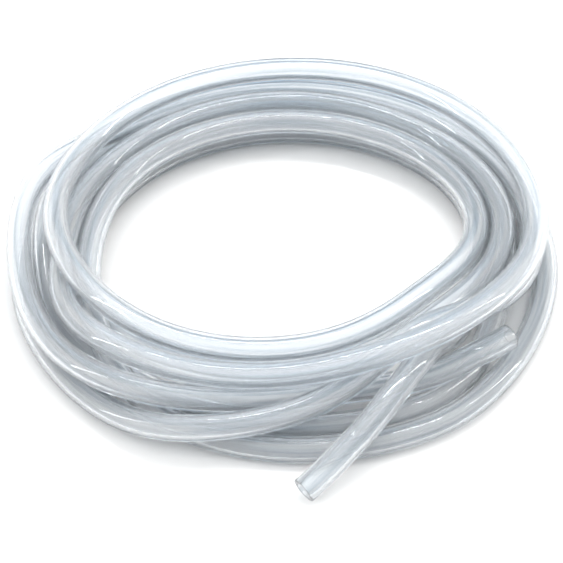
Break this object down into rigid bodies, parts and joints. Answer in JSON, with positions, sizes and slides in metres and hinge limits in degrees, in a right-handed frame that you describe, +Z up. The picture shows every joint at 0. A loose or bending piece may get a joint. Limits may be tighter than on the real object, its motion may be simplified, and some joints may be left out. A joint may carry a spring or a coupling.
{
  "type": "silicone tubing coil",
  "caption": "Length of clear silicone tubing wound by hand into a loose flat coil, with both cut ends free for hose barbs.",
  "frame": {"origin": "on the floor, below the middle of the coil and its free ends together", "axes": "+Z up, out of the coil's plane; -Y towards the free end that reaches out over the front; +X to the right, towards the other free end"},
  "size_m": [0.175, 0.19, 0.0246],
  "materials": {
    "clear_silicone": "clear extruded silicone rubber, smooth and slightly tacky, with a cool grey tint where the wall is thick"
  },
  "bodies": {
    "root": {"coil": "clear_silicone", "front_end": "clear_silicone", "side_end": "clear_silicone"}
  },
  "joints": []
}
